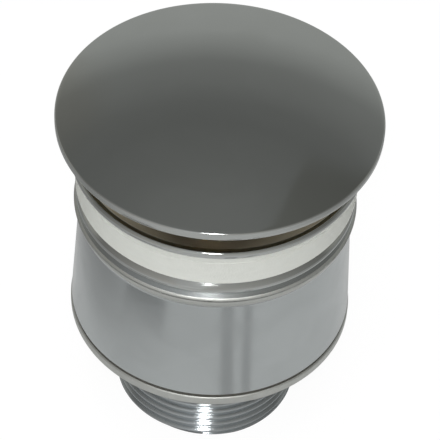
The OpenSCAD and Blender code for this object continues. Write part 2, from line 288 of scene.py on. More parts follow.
upper_part = rounded_outline([
    (TAIL_R, CONE_Z, CONE_ROUND),
    (SEAT_R, SEAT_Z, SOFT_EDGE),
    (LIP_R, SEAT_Z, LIP_ROUND),
    (LIP_R, LIP_Z, LIP_ROUND),
    (LIP_R - LIP_W, LIP_Z, SOFT_EDGE),
    (THROAT_R + THROAT_LEAD, DISH_FOOT_Z, DISH_ROUND),
    (THROAT_R, DISH_Z, SOFT_EDGE),
    (THROAT_R, SHOULDER_Z, SHOULDER_ROUND),
    (BORE_R, SHOULDER_Z, EDGE),
    (BORE_R, 0.0, BORE_EDGE),
])
# The last round's points on the tail's end give way to the flat from the bore to the thread's foot.
END_FACE = 0.001
upper_part = upper_part[upper_part[:, 1] > END_FACE]
upper_part = np.concatenate([[[TAIL_R, THREAD_TOP]], upper_part, [[BORE_R + BORE_EDGE, 0.0], [FOOT_R, 0.0]]])
upper_points = revolved(upper_part)
upper_faces = grid_faces(len(upper_part), COLUMNS)
screw = screw_rows(TAIL_R, THREAD_DEPTH, THREAD_PITCH, 0.0, THREAD_TOP, (TAIL_CHAMFER, 0.0), THREAD_FADE)
angle = np.linspace(0, 2 * np.pi, COLUMNS + 1)
foot = np.stack([FOOT_R * np.cos(angle), FOOT_R * np.sin(angle), np.zeros_like(angle)], axis=-1)[None]
screw = np.concatenate([foot, screw])
screw_quads = grid_faces(len(screw), COLUMNS + 1, closed_columns=False)
waste_body = mesh_piece("chromed_waste_body", np.concatenate([upper_points, screw.reshape(-1, 3)]),
                        np.concatenate([upper_faces, screw_quads + len(upper_points)]))
# The dish is finished as a hollow inside a cone that opens a little faster than the dish itself.
DISH_CONE = 1.85
dress(waste_body, bright_chrome, "body", "chrome", "waste_body")
second_finish(waste_body, thread_chrome, lambda r, z: (r > THROAT_R + SOFT_EDGE) & (z < THREAD_TOP))
second_finish(waste_body, hollow_chrome, lambda r, z: (r < LIP_R - LIP_W - EDGE) & (z > THREAD_TOP)
              & (r < THROAT_R + THROAT_LEAD + (z - DISH_Z) * DISH_CONE))

# Gaskets: two rings of white moulded rubber, the thin one under the flange, the thick one for the
# basin's underside. They are slipped on from below and only pressed together.
# The rubber is matt, with a fine grit from its mould and faint greyish clouding from handling.
RUBBER_CLOUD, RUBBER_GRIT = 2.5, 0.4
RUBBER_GRIT_DEPTH = 0.05
CLOUD_STRETCH = 2.5
white_rubber, tree, output, place = start_material("white_moulded_rubber")
drawn_out = add(tree, "ShaderNodeMapping", {"Vector": place, "Scale": (1, 1, CLOUD_STRETCH)})
cloud = add(tree, "ShaderNodeTexNoise", {"Vector": drawn_out.outputs[0], "Scale": PER_MM / RUBBER_CLOUD,
                                         "Detail": 6, "Roughness": 0.7})
grit = add(tree, "ShaderNodeTexNoise", {"Vector": place, "Scale": PER_MM / RUBBER_GRIT, "Detail": 2})
tint = add(tree, "ShaderNodeMix", {0: cloud.outputs["Fac"], 6: linear("#CACDC7"), 7: linear("#DADCD7")},
           data_type="RGBA")
bump = add(tree, "ShaderNodeBump", {"Height": grit.outputs["Fac"], "Distance": RUBBER_GRIT_DEPTH * MM})
rubber = add(tree, "ShaderNodeBsdfPrincipled", {"Base Color": tint.outputs[2], "Roughness": 0.6, "IOR": 1.5,
                                                "Normal": bump.outputs["Normal"]})
tree.links.new(rubber.outputs[0], output.inputs["Surface"])

GASKET_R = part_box("lower_gasket")[1][0] / MM
GASKET_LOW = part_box("lower_gasket")[0][2] / MM
SEAM_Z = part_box("upper_gasket")[0][2] / MM
GASKET_EDGE = 0.25
GASKET_BORE_EDGE = 0.12
GASKET_THROAT_ROUND = 0.5
ROOM = 0.35
CONE_SLOPE = (SEAT_R - TAIL_R) / (SEAT_Z - CONE_Z)


def over_cone(z):
    """Radius of a gasket's bore at height z: the shank or its cone, and the room round it."""
    return TAIL_R + max(0.0, z - CONE_Z) * CONE_SLOPE + ROOM


upper_gasket = turned("white_upper_gasket", rounded_outline([
    (over_cone(SEAM_Z), SEAM_Z, GASKET_BORE_EDGE),
    (GASKET_R, SEAM_Z, GASKET_EDGE),
    (GASKET_R, SEAT_Z, GASKET_EDGE),
    (over_cone(SEAT_Z), SEAT_Z, GASKET_BORE_EDGE),
]))
dress(upper_gasket, white_rubber, "body", "white_rubber", "upper_gasket")
lower_gasket = turned("white_lower_gasket", rounded_outline([
    (TAIL_R + ROOM, GASKET_LOW, GASKET_BORE_EDGE),
    (GASKET_R, GASKET_LOW, GASKET_EDGE),
    (GASKET_R, SEAM_Z, GASKET_EDGE),
    (over_cone(SEAM_Z), SEAM_Z, GASKET_BORE_EDGE),
    (TAIL_R + ROOM, CONE_Z, GASKET_THROAT_ROUND),
]))
dress(lower_gasket, white_rubber, "clamp_stack", "white_rubber", "lower_gasket")

# Pressure ring: turned brass, polished and chromed, with a wide chamfer above that the wheel has
# crowned a little. It carries the load from the bell cover to the lower gasket.
RING_R, RING_TOP = np.array(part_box("pressure_ring")[1])[[0, 2]] / MM
RING_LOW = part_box("pressure_ring")[0][2] / MM
RING_CHAMFER = 2.3
RING_CHAMFER_ROUND = 1.15
# The crown is a corner a little outside the chamfer's straight line, with a wide round.
CROWN_IN, CROWN_UP, CROWN_ROUND = 0.6, 0.64, 6.0
pressure_ring = turned("chromed_pressure_ring", rounded_outline([
    (TAIL_R + ROOM, RING_LOW, EDGE),
    (RING_R, RING_LOW, SOFT_EDGE),
    (RING_R, RING_TOP - RING_CHAMFER, RING_CHAMFER_ROUND),
    (RING_R - CROWN_IN, RING_TOP - RING_CHAMFER + CROWN_UP, CROWN_ROUND),
    (RING_R - RING_CHAMFER, RING_TOP, SOFT_EDGE),
    (TAIL_R + ROOM, RING_TOP, EDGE),
]))
dress(pressure_ring, bright_chrome, "clamp_stack", "chrome", "pressure_ring")

# Bell cover: spun from brass sheet, its mouth turned over into a hem, with a rolled collar and an
# inner web above that the backnut pulls on. Polished and chromed outside, thinly plated inside.
# Sheet that was buffed upright after spinning: reflections are soft, and it isn't quite even.
bell_chrome = plated_metal("buffed_chrome_on_spun_sheet", "#C3C8C8", "#B9BEBE", patch=12,
                           shine=(0.17, 0.25), grain_size=0.5, grain_depth=0.001, wave_depth=0.03)
# The collar and the hem are rolled and brushed, not buffed: a light satin grey.
rolled_chrome = plated_metal("satin_chrome_on_rolled_edges", "#D2D4D0", "#C8CAC6", patch=3,
                             shine=(0.46, 0.56), grain_size=0.3, grain_depth=0.002)
HEM_R, WEB_TOP = np.array(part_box("bell_cover")[1])[[0, 2]] / MM
MOUTH_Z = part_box("bell_cover")[0][2] / MM
MOUTH_R = HEM_R - 0.2
WAIST_R = MOUTH_R - 1.65
WAIST_Z = WEB_TOP - 5.2
WAIST_ROUND = 1.5
SHEET = 1.0
SHEET_ROUND = 2.0
WEB_Z = WEB_TOP - 1.2
WEB_ROUND = 0.5
HEM_TOP = MOUTH_Z + 2.6
HEM_LOW_ROUND = 0.75
HEM_HIGH_ROUND = 0.45
GROOVE_TOP = HEM_TOP + 0.9
GROOVE_R = MOUTH_R - 0.4
GROOVE_CORNER = 0.03
GROOVE_MARGIN = 0.05
SATIN_LOW = WAIST_Z + 0.5
COLLAR_R = WAIST_R + 1.1
COLLAR_TOP = WEB_TOP - 0.5
COLLAR_LOW = WEB_TOP - 3.2
COLLAR_FILLET = 4.0
COLLAR_ROUND = 0.9
COLLAR_SLOPE_IN = 2.0
COLLAR_SLOPE_DOWN = 1.4
CREASE = 0.1
bell_cover = turned("chromed_bell_cover", rounded_outline([
    (TAIL_R + ROOM, WEB_Z, EDGE),
    (WAIST_R - SHEET, WEB_Z, WEB_ROUND),
    (WAIST_R - SHEET, WAIST_Z, SHEET_ROUND),
    (MOUTH_R - SHEET, GROOVE_TOP, SHEET_ROUND),
    (MOUTH_R - SHEET, MOUTH_Z, SOFT_EDGE),
    (HEM_R, MOUTH_Z, HEM_LOW_ROUND),
    (HEM_R, HEM_TOP, HEM_HIGH_ROUND),
    (GROOVE_R, HEM_TOP, GROOVE_CORNER),
    (GROOVE_R, GROOVE_TOP, CRISP_EDGE),
    (MOUTH_R, GROOVE_TOP, CRISP_EDGE),
    (WAIST_R, WAIST_Z, WAIST_ROUND),
    (COLLAR_R, COLLAR_LOW, COLLAR_FILLET),
    (COLLAR_R, COLLAR_TOP - COLLAR_SLOPE_DOWN, COLLAR_ROUND),
    (COLLAR_R - COLLAR_SLOPE_IN, COLLAR_TOP, CRISP_EDGE),
    (COLLAR_R - COLLAR_SLOPE_IN - CREASE, WEB_TOP, CRISP_EDGE),
    (TAIL_R + ROOM, WEB_TOP, EDGE),
]))
dress(bell_cover, bell_chrome, "clamp_stack", "chrome", "bell_cover")
second_finish(bell_cover, rolled_chrome, lambda r, z: (r > WAIST_R + EDGE) & (z > SATIN_LOW))
second_finish(bell_cover, rolled_chrome, lambda r, z: (r > GROOVE_R) & (z < HEM_TOP + CRISP_EDGE))
# Painted shade: the narrow groove above the hem is coloured a mottled, matt, dark grey that stands in for
# the shade inside it.
GROOVE_SHADE_MOTTLE = 0.8
painted_groove_shade, tree, output, place = start_material("groove_painted_shade")
shade_mottle = add(tree, "ShaderNodeTexNoise", {"Vector": place, "Scale": PER_MM / GROOVE_SHADE_MOTTLE, "Detail": 3})
tint = add(tree, "ShaderNodeMix", {0: shade_mottle.outputs["Fac"], 6: linear("#403F3B"), 7: linear("#6A6963")},
           data_type="RGBA")
groove_shade_surface = add(tree, "ShaderNodeBsdfPrincipled", {"Base Color": tint.outputs[2], "Roughness": 0.6,
                                                "IOR": 1.45})
tree.links.new(groove_shade_surface.outputs[0], output.inputs["Surface"])
HAIR = 0.02
# The painted shade goes on the groove's faces.
second_finish(bell_cover, painted_groove_shade,
              lambda r, z: (r > GROOVE_R - CRISP_EDGE) & (r < MOUTH_R - GROOVE_MARGIN)
              & (z > HEM_TOP - HAIR) & (z < GROOVE_TOP + GROOVE_MARGIN))
BELL_FLARE = 0.06
second_finish(bell_cover, hollow_chrome, lambda r, z: (r < MOUTH_R - SHEET + HAIR) & (z < WEB_Z + SOFT_EDGE)
              & (r < WAIST_R - SHEET + HAIR + (WEB_Z - z) * BELL_FLARE))

# Fibre washer: stamped from red vulcanised fibre sheet, loose between the backnut and the bell
# cover's web. Pressed paper: matt, mottled, with short fibres showing.
FIBRE_LENGTH = 1.2
FIBRE_STRETCH = 4
FIBRE_LIFT = 0.04
red_fibre, tree, output, place = start_material("red_vulcanised_fibre")
stretched = add(tree, "ShaderNodeMapping", {"Vector": place, "Scale": (1, 1, FIBRE_STRETCH)})
pulp = add(tree, "ShaderNodeTexNoise", {"Vector": stretched.outputs[0], "Scale": PER_MM / FIBRE_LENGTH,
                                        "Detail": 6})
tint = add(tree, "ShaderNodeMix", {0: pulp.outputs["Fac"], 6: linear("#93402F"), 7: linear("#64241B")},
           data_type="RGBA")
bump = add(tree, "ShaderNodeBump", {"Height": pulp.outputs["Fac"], "Distance": FIBRE_LIFT * MM})
fibre = add(tree, "ShaderNodeBsdfPrincipled", {"Base Color": tint.outputs[2], "Roughness": 0.68, "IOR": 1.5,
                                               "Normal": bump.outputs["Normal"]})
tree.links.new(fibre.outputs[0], output.inputs["Surface"])

WASHER_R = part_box("fibre_washer")[1][0] / MM
WASHER_LOW, WASHER_HIGH = (corner[2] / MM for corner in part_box("fibre_washer"))
WASHER_BORE_EDGE = 0.08
WASHER_EDGE = 0.24
fibre_washer = turned("red_fibre_washer", rounded_outline([
    (TAIL_R + ROOM, WASHER_LOW, WASHER_BORE_EDGE),
    (WASHER_R, WASHER_LOW, WASHER_EDGE),
    (WASHER_R, WASHER_HIGH, WASHER_EDGE),
    (TAIL_R + ROOM, WASHER_HIGH, WASHER_BORE_EDGE),
]))
dress(fibre_washer, red_fibre, "clamp_stack", "fibre", "fibre_washer")

# Backnut: hexagon brass bar, faced, bored and screw-cut, with chamfered corners, hidden inside the
# bell cover. Brass left as turned: satin, with feed marks and a brown tarnish in patches.
FEED, FEED_DEPTH = 0.3, 0.006
TARNISH_SIZE = 7
TARNISH_RANGE = (0.4, 0.68)
BRASS_SHINE = (0.24, 0.42)
turned_brass, tree, output, place = start_material("plain_turned_brass")
flat_place = add(tree, "ShaderNodeVectorMath", {0: place, 1: (1, 1, 0)}, operation="MULTIPLY")
radius = add(tree, "ShaderNodeVectorMath", {0: flat_place.outputs[0]}, operation="LENGTH").outputs["Value"]
height = add(tree, "ShaderNodeSeparateXYZ", {0: place}).outputs["Z"]
along = add(tree, "ShaderNodeCombineXYZ", {"X": radius, "Z": height})
feed_marks = add(tree, "ShaderNodeTexNoise", {"Vector": along.outputs[0], "Scale": PER_MM / FEED,
                                              "Detail": 2})
tarnish = add(tree, "ShaderNodeTexNoise", {"Vector": place, "Scale": PER_MM / TARNISH_SIZE, "Detail": 6,
                                           "Roughness": 0.6})
patches = add(tree, "ShaderNodeMapRange", {"Value": tarnish.outputs["Fac"],
                                           "From Min": TARNISH_RANGE[0], "From Max": TARNISH_RANGE[1]})
tint = add(tree, "ShaderNodeMix", {0: patches.outputs[0], 6: linear("#D0B072"), 7: linear("#A98350")},
           data_type="RGBA")
dull = add(tree, "ShaderNodeMapRange", {"Value": tarnish.outputs["Fac"], "From Min": 0.3, "From Max": 0.7,
                                        "To Min": BRASS_SHINE[0], "To Max": BRASS_SHINE[1]})
bump = add(tree, "ShaderNodeBump", {"Height": feed_marks.outputs["Fac"], "Distance": FEED_DEPTH * MM})
metal = add(tree, "ShaderNodeBsdfPrincipled", {"Base Color": tint.outputs[2], "Metallic": 1.0,
                                               "Roughness": dull.outputs[0],
                                               "Normal": bump.outputs["Normal"]})
tree.links.new(metal.outputs[0], output.inputs["Surface"])

SECTOR = np.pi / 3
SECTOR_COLUMNS = 32
NUT_EASE = 0.2
NUT_SOFTNESS = 0.04
NUT_DEPTHS = np.array([0, 0.02, 0.06, 0.12, 0.2, 0.32, 0.46, 0.62, 0.85, 1.2])


def hexagon_nut(name, flats, bore, low, high, chamfer, sink):
    """A hexagon nut with its corners turned off at both ends and its bore countersunk.

    At an angle u from the middle of the nearest flat the hexagon's radius is half the flats over
    cos u. At a depth d below the nearer end the chamfer's cone allows the corner's radius, less the
    chamfer, plus 2 d. The outside is the smaller of both, with a change between them that is as
    soft as NUT_SOFTNESS, drawn in along a quarter circle for the last NUT_EASE millimetres.
    Columns crowd together at the corners.
    """
    u = SECTOR / 2 * np.sin(np.linspace(-np.pi / 2, np.pi / 2, SECTOR_COLUMNS + 1))[:-1]
    t = (u[None, :] + SECTOR / 2 + SECTOR * np.arange(6)[:, None]).reshape(1, -1)
    u = np.tile(u, 6)[None, :]
    side, neighbour = flats / 2 / np.cos(u), flats / 2 / np.cos(SECTOR - np.abs(u))
    hexagon = -NUT_SOFTNESS * np.logaddexp(-side / NUT_SOFTNESS, -neighbour / NUT_SOFTNESS)
    z = np.concatenate([low + NUT_DEPTHS, high - NUT_DEPTHS[::-1]])[:, None]
    depth = np.minimum(z - low, high - z)
    cone = flats / 2 / np.cos(SECTOR / 2) - chamfer + 2 * depth
    outside = -NUT_SOFTNESS * np.logaddexp(-hexagon / NUT_SOFTNESS, -cone / NUT_SOFTNESS)
    left = NUT_EASE - np.minimum(depth, NUT_EASE)
    outside = outside - NUT_EASE + np.sqrt(NUT_EASE ** 2 - left ** 2)
    inside = rounded_outline([(bore + sink, high, CRISP_EDGE), (bore, high - sink, CRISP_EDGE),
                              (bore, low + sink, CRISP_EDGE), (bore + sink, low, CRISP_EDGE)])
    r = np.concatenate([outside, np.repeat(inside[:, :1], t.size, axis=1)])
    z = np.concatenate([z, inside[:, 1:]])
    points = np.stack(np.broadcast_arrays(r * np.cos(t), r * np.sin(t), z), axis=-1)
    return mesh_piece(name, points.reshape(-1, 3), grid_faces(len(points), t.size, True))


PLAY = 0.05
BACKNUT_FLATS, BACKNUT_CHAMFER, BACKNUT_SINK = 48.0, 1.1, 0.6
BACKNUT_LOW, BACKNUT_HIGH = (corner[2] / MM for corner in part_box("backnut"))
backnut = hexagon_nut("brass_backnut", BACKNUT_FLATS, TAIL_R + PLAY, BACKNUT_LOW, BACKNUT_HIGH,
                      BACKNUT_CHAMFER, BACKNUT_SINK)
dress(backnut, turned_brass, "backnut", "brass", "backnut")

# Strainer cross: ring, four arms and threaded hub in one brass casting, turned outside, that stands
# on the throat's shoulder. Its edges are broken by tumbling.
TUMBLED_EDGE = 0.2
SHARP_ANGLE = np.radians(40)
FLAT_ANGLE = np.radians(0.5)
SAME_POINT = 0.001
cross_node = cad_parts["strainer_cross"]
cross_mesh = cross_node.data.copy()
work = bmesh.new()
work.from_mesh(cross_mesh)
bmesh.ops.remove_doubles(work, verts=work.verts, dist=SAME_POINT * MM)
bmesh.ops.dissolve_limit(work, angle_limit=FLAT_ANGLE, verts=work.verts, edges=work.edges)
bmesh.ops.recalc_face_normals(work, faces=work.faces)
work.to_mesh(cross_mesh)
work.free()
cross_mesh.shade_smooth()
strainer_cross = bpy.data.objects.new("brass_strainer_cross", cross_mesh)
bpy.context.scene.collection.objects.link(strainer_cross)
edges = strainer_cross.modifiers.new("tumbled_edges", "BEVEL")
edges.width = TUMBLED_EDGE * MM
edges.segments = 3
edges.limit_method = "ANGLE"
edges.angle_limit = SHARP_ANGLE
edges.harden_normals = True
dress(strainer_cross, turned_brass, "strainer", "brass", "strainer_cross")

# O-ring: moulded black nitrile, rolled into the ring's groove, where the throat's wall squeezes it.
# The eye sees a soft black with a faint grey bloom.
BLOOM_SIZE, BLOOM_LIFT = 3, 0.02
black_nitrile, tree, output, place = start_material("black_nitrile")
bloom = add(tree, "ShaderNodeTexNoise", {"Vector": place, "Scale": PER_MM / BLOOM_SIZE, "Detail": 4})
tint = add(tree, "ShaderNodeMix", {0: bloom.outputs["Fac"], 6: linear("#1B1B1B"), 7: linear("#2B2A29")},
           data_type="RGBA")
bump = add(tree, "ShaderNodeBump", {"Height": bloom.outputs["Fac"], "Distance": BLOOM_LIFT * MM})
rubber = add(tree, "ShaderNodeBsdfPrincipled", {"Base Color": tint.outputs[2], "Roughness": 0.45,
                                                "IOR": 1.52, "Normal": bump.outputs["Normal"]})
tree.links.new(rubber.outputs[0], output.inputs["Surface"])

O_RING_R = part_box("strainer_o_ring")[1][0] / MM
O_RING_LOW, O_RING_HIGH = (corner[2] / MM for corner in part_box("strainer_o_ring"))
O_RING_FLOOR = 17.72
O_RING_FLOOR_ROUND = 0.15
O_RING_ROUND = 0.5
o_ring = turned("black_strainer_o_ring", rounded_outline([
    (O_RING_FLOOR, O_RING_LOW, O_RING_FLOOR_ROUND),
    (O_RING_R, O_RING_LOW, O_RING_ROUND),
    (O_RING_R, O_RING_HIGH, O_RING_ROUND),
    (O_RING_FLOOR, O_RING_HIGH, O_RING_FLOOR_ROUND),
]))
dress(o_ring, black_nitrile, "strainer", "black_rubber", "strainer_o_ring")

# Post: M8 rod of rolled stainless steel, chamfered at both ends, screwed through the hub into the
# cap's boss. Rolled and machined stainless is a warm grey satin with short scratches.
stainless = plated_metal("machined_stainless_steel", "#BDBBB6", "#A8A5A0", patch=3,
                         shine=(0.22, 0.36), grain_size=0.5, grain_depth=0.006)

POST_R = 4.0
POST_PITCH = 1.25
POST_DEPTH = 0.7
POST_LOW, POST_HIGH = (corner[2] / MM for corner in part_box("cap_post"))
POST_COLUMNS = 64
POST_FADE = 0.05
post_screw = screw_rows(POST_R, POST_DEPTH, POST_PITCH, POST_LOW, POST_HIGH, (POST_DEPTH, POST_DEPTH),
                        POST_FADE, POST_COLUMNS)
ends = np.zeros((2, 1, POST_COLUMNS + 1, 3))
ends[:, :, :, 2] = np.array([POST_LOW, POST_HIGH])[:, None, None]
post_points = np.concatenate([ends[0], post_screw, ends[1]])
cap_post = mesh_piece("steel_cap_post", post_points.reshape(-1, 3),
                      grid_faces(len(post_points), POST_COLUMNS + 1, closed_columns=False))
dress(cap_post, stainless, "cap", "steel", "cap_post")

# Lock washer and lock nut: stamped and turned stainless, which hold the post at its height.
# The washer's upper edge is rounded by the stamp.
LOCK_WASHER_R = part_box("lock_washer")[1][0] / MM
LOCK_WASHER_LOW, LOCK_WASHER_HIGH = (corner[2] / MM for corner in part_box("lock_washer"))
LOCK_WASHER_BORE_ROUND = 0.25
lock_washer = turned("steel_lock_washer", rounded_outline([
    (POST_R + PLAY, LOCK_WASHER_LOW, CRISP_EDGE),
    (LOCK_WASHER_R, LOCK_WASHER_LOW, CRISP_EDGE),
    (LOCK_WASHER_R, LOCK_WASHER_HIGH, SOFT_EDGE),
    (POST_R + PLAY, LOCK_WASHER_HIGH, LOCK_WASHER_BORE_ROUND),
]))
dress(lock_washer, stainless, "lock_carrier", "steel", "lock_washer")
LOCK_NUT_FLATS, LOCK_NUT_CHAMFER, LOCK_NUT_SINK = 13.0, 0.7, 0.4
LOCK_NUT_LOW, LOCK_NUT_HIGH = (corner[2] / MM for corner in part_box("lock_nut"))
lock_nut = hexagon_nut("steel_lock_nut", LOCK_NUT_FLATS, POST_R + PLAY, LOCK_NUT_LOW, LOCK_NUT_HIGH,
                       LOCK_NUT_CHAMFER, LOCK_NUT_SINK)
dress(lock_nut, stainless, "lock_nut", "steel", "lock_nut")

# Boss: turned brass, bored blind and tapped for the post, brazed to the flat under the cap. The
# brazing metal leaves a small fillet round its foot.
BOSS_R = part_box("cap_boss")[1][0] / MM
BOSS_LOW, BOSS_HIGH = (corner[2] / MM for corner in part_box("cap_boss"))
BOSS_BLIND = BOSS_LOW + 5.5
BOSS_SINK = 0.5
BOSS_MOUTH_R = POST_R + 0.55
BOSS_ROUND = 0.4
FILLET = 0.3
FILLET_TIP = 0.02
AT_AXIS = 0.01
AXIS_ROUND = 0.004
# The first two corners only lead the outline to the axis: the two poles stand in for their points.
boss_outline = rounded_outline([
    (AT_AXIS, BOSS_HIGH, AXIS_ROUND),
    (AT_AXIS, BOSS_BLIND, AXIS_ROUND),
    (POST_R + PLAY, BOSS_BLIND, CRISP_EDGE),
    (POST_R + PLAY, BOSS_LOW + BOSS_SINK, CRISP_EDGE),
    (BOSS_MOUTH_R, BOSS_LOW, CRISP_EDGE),
    (BOSS_R, BOSS_LOW, BOSS_ROUND),
    (BOSS_R, BOSS_HIGH - FILLET, BOSS_ROUND),
    (BOSS_R + FILLET, BOSS_HIGH, FILLET_TIP),
])[2 * CORNER_POINTS:]
cap_boss = turned("brass_cap_boss", np.concatenate([[[0, BOSS_BLIND]], boss_outline, [[0, BOSS_HIGH]]]),
                  closed=False)
dress(cap_boss, turned_brass, "cap", "brass", "cap_boss")

# Cap washer: natural nylon, moulded, slipped over the post and pressed against the boss.
# The eye sees a waxy, slightly yellow white that lets some light through.
FLOW_SIZE, FLOW_LIFT = 3, 0.02
NYLON_DEPTH = 0.8
nylon, tree, output, place = start_material("natural_moulded_nylon")
flow = add(tree, "ShaderNodeTexNoise", {"Vector": place, "Scale": PER_MM / FLOW_SIZE, "Detail": 3})
tint = add(tree, "ShaderNodeMix", {0: flow.outputs["Fac"], 6: linear("#DEDACB"), 7: linear("#D3CDB9")},
           data_type="RGBA")
bump = add(tree, "ShaderNodeBump", {"Height": flow.outputs["Fac"], "Distance": FLOW_LIFT * MM})
plastic = add(tree, "ShaderNodeBsdfPrincipled", {"Base Color": tint.outputs[2], "Roughness": 0.42,
                                                 "IOR": 1.53, "Subsurface Weight": 0.25,
                                                 "Subsurface Scale": NYLON_DEPTH * MM,
                                                 "Normal": bump.outputs["Normal"]})
tree.links.new(plastic.outputs[0], output.inputs["Surface"])
CAP_WASHER_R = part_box("cap_washer")[1][0] / MM
CAP_WASHER_LOW, CAP_WASHER_HIGH = (corner[2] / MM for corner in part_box("cap_washer"))
CAP_WASHER_BORE_EDGE = 0.15
CAP_WASHER_EDGE = 0.25
cap_washer = turned("nylon_cap_washer", rounded_outline([
    (POST_R + PLAY, CAP_WASHER_LOW, CAP_WASHER_BORE_EDGE),
    (CAP_WASHER_R, CAP_WASHER_LOW, CAP_WASHER_EDGE),
    (CAP_WASHER_R, CAP_WASHER_HIGH, CAP_WASHER_EDGE),
    (POST_R + PLAY, CAP_WASHER_HIGH, CAP_WASHER_BORE_EDGE),
]))
dress(cap_washer, nylon, "cap_carrier", "nylon", "cap_washer")

# Cap: shallow mushroom dome with a short upright rim, hollow below, in turned brass. Polished and
# chromed above, thinly plated in its hollow.
CAP_R, DOME_TOP = np.array(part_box("dome_cap")[1])[[0, 2]] / MM
CAP_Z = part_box("dome_cap")[0][2] / MM
RIM_Z = CAP_Z + 1.9
RISE = DOME_TOP - RIM_Z
RIM_ROUND = 0.5
RIM_EDGE = 0.4
HOLLOW_R = CAP_R - 2.0
CAP_WALL = 1.8
FLAT_R = 8.5
DOME_R = (CAP_R ** 2 + RISE ** 2) / (2 * RISE)
DOME_ROWS = 48
ON_HOLLOW = 0.01


def dome_height(r):
    """Height of the dome's sphere at radius r from the axis: its centre's height + sqrt(R^2 - r^2)."""
    return DOME_TOP - DOME_R + np.sqrt(DOME_R ** 2 - r ** 2)


def arc(r, z, size, start, end):
    """Points of a round about (r, z): (r + size cos a, z + size sin a) for a from start to end degrees."""
    a = np.radians(np.linspace(start, end, CORNER_POINTS))
    return np.stack([r + size * np.cos(a), z + size * np.sin(a)], axis=-1)


lean = np.degrees(np.arcsin((CAP_R - RIM_ROUND) / (DOME_R - RIM_ROUND)))
round_z = DOME_TOP - DOME_R + (DOME_R - RIM_ROUND) * np.cos(np.radians(lean))
dome_r = DOME_R * np.sin(np.radians(lean)) * np.linspace(0, 1, DOME_ROWS)[:-1]
hollow_r = np.linspace(HOLLOW_R, FLAT_R, DOME_ROWS // 2)
dome_cap = turned("chromed_dome_cap", np.concatenate([
    np.stack([dome_r, dome_height(dome_r)], axis=-1),
    arc(CAP_R - RIM_ROUND, round_z, RIM_ROUND, 90 - lean, 0),
    arc(CAP_R - RIM_EDGE, CAP_Z + RIM_EDGE, RIM_EDGE, 0, -90),
    arc(HOLLOW_R + EDGE, CAP_Z + EDGE, EDGE, -90, -180),
    np.stack([hollow_r, dome_height(hollow_r) - CAP_WALL], axis=-1),
    [[0, dome_height(FLAT_R) - CAP_WALL]],
]), closed=False)
dress(dome_cap, bright_chrome, "cap", "chrome", "dome_cap")
second_finish(dome_cap, hollow_chrome,
              lambda r, z: (r < HOLLOW_R + ON_HOLLOW) & (z < dome_height(r) - CAP_WALL / 2))

# Studio: white paper under and behind the object, a dim room behind the camera, soft lamps above,
# and one round flash with its reflector just above the camera. Camera and lamps are in metres.
TARGET = Vector((0, 0, 0.0828))
DISTANCE = 0.5
ELEVATION = 0.7754953
YAW, PITCH, ROLL = -0.0025451, -0.0427532, -0.0592128
FOCAL_PIXELS = 2345.1
PICTURE = 440
SENSOR = 36.0
CLIP_START = 0.01
forward = Vector((0, np.cos(ELEVATION), -np.sin(ELEVATION)))
side = Vector((1, 0, 0))
up = side.cross(forward)
aim = Quaternion(up, YAW)
forward, side = aim @ forward, aim @ side
aim = Quaternion(side, PITCH)
forward, up = aim @ forward, aim @ up
aim = Quaternion(forward, ROLL)
side, up = aim @ side, aim @ up
eye = TARGET + DISTANCE * Vector((0, -np.cos(ELEVATION), np.sin(ELEVATION)))
camera = bpy.data.objects.new("camera", bpy.data.cameras.new("camera"))
camera.matrix_world = Matrix.Translation(eye) @ Matrix((side, up, -forward)).transposed().to_4x4()
camera.data.sensor_width = SENSOR
camera.data.lens = FOCAL_PIXELS / PICTURE * SENSOR
camera.data.clip_start = CLIP_START
bpy.context.scene.collection.objects.link(camera)
bpy.context.scene.camera = camera


def flat_sheet(name, outline, height, material):
    """A flat stage sheet: the outline's (x, y) points at one height, in order round its edge."""
    corners = np.column_stack([np.array(outline, float), np.full(len(outline), float(height))]) * MM
    mesh = bpy.data.meshes.new(name)
    mesh.from_pydata(corners.tolist(), [], [tuple(range(len(corners)))])
    mesh.materials.append(material)
    sheet = bpy.data.objects.new(name, mesh)
    bpy.context.scene.collection.objects.link(sheet)
    return sheet


# The paper is white to the camera and keeps the object's shadow. To polished metal it glows greyer, with
# painted shade at the object's foot and in front, and a painted lit patch whose light falls off away from
# the object.
PAPER_TO_CAMERA, PAPER_TO_METAL = 0.92, 0.8
CAMERA_TONE = 1.03
NEAR_TONE, FRONT_TONE, SIDE_TONE = 0.57, 0.5, 0.2
# The painted lit patch ends nearer to the object on its left than on its right, and fades over LIT_FADE.
LIT_LEFT, LIT_RIGHT, LIT_FADE = 48, 78, 38
SHADE_START, SHADE_END, SHADE_TONE = 26, 56, 0.5
paper, tree, output, place = start_material("white_background_paper")
ray = add(tree, "ShaderNodeLightPath")
shown = add(tree, "ShaderNodeMath", {0: ray.outputs["Is Glossy Ray"], 1: ray.outputs["Is Transmission Ray"]},
            operation="MAXIMUM")
share = add(tree, "ShaderNodeMath", {0: shown.outputs[0], 1: PAPER_TO_METAL}, operation="MULTIPLY")
camera_share = add(tree, "ShaderNodeMath", {0: ray.outputs["Is Camera Ray"], 1: PAPER_TO_CAMERA},
                   operation="MULTIPLY")
glow_share = add(tree, "ShaderNodeMath", {0: share.outputs[0], 1: camera_share.outputs[0]},
                 operation="MAXIMUM")
spot = add(tree, "ShaderNodeVectorMath", {0: place, 1: (1, 1, 0)}, operation="MULTIPLY")
away = add(tree, "ShaderNodeVectorMath", {0: spot.outputs[0]}, operation="LENGTH").outputs["Value"]
bearing = add(tree, "ShaderNodeVectorMath", {0: spot.outputs[0]}, operation="NORMALIZE")
bearing = add(tree, "ShaderNodeSeparateXYZ", {0: bearing.outputs[0]}).outputs
edge = add(tree, "ShaderNodeMapRange", {"Value": bearing["X"], "From Min": -0.5, "From Max": 0.5,
                                        "To Min": LIT_LEFT * MM, "To Max": LIT_RIGHT * MM}).outputs[0]
past = add(tree, "ShaderNodeMath", {0: away, 1: edge}, operation="SUBTRACT")
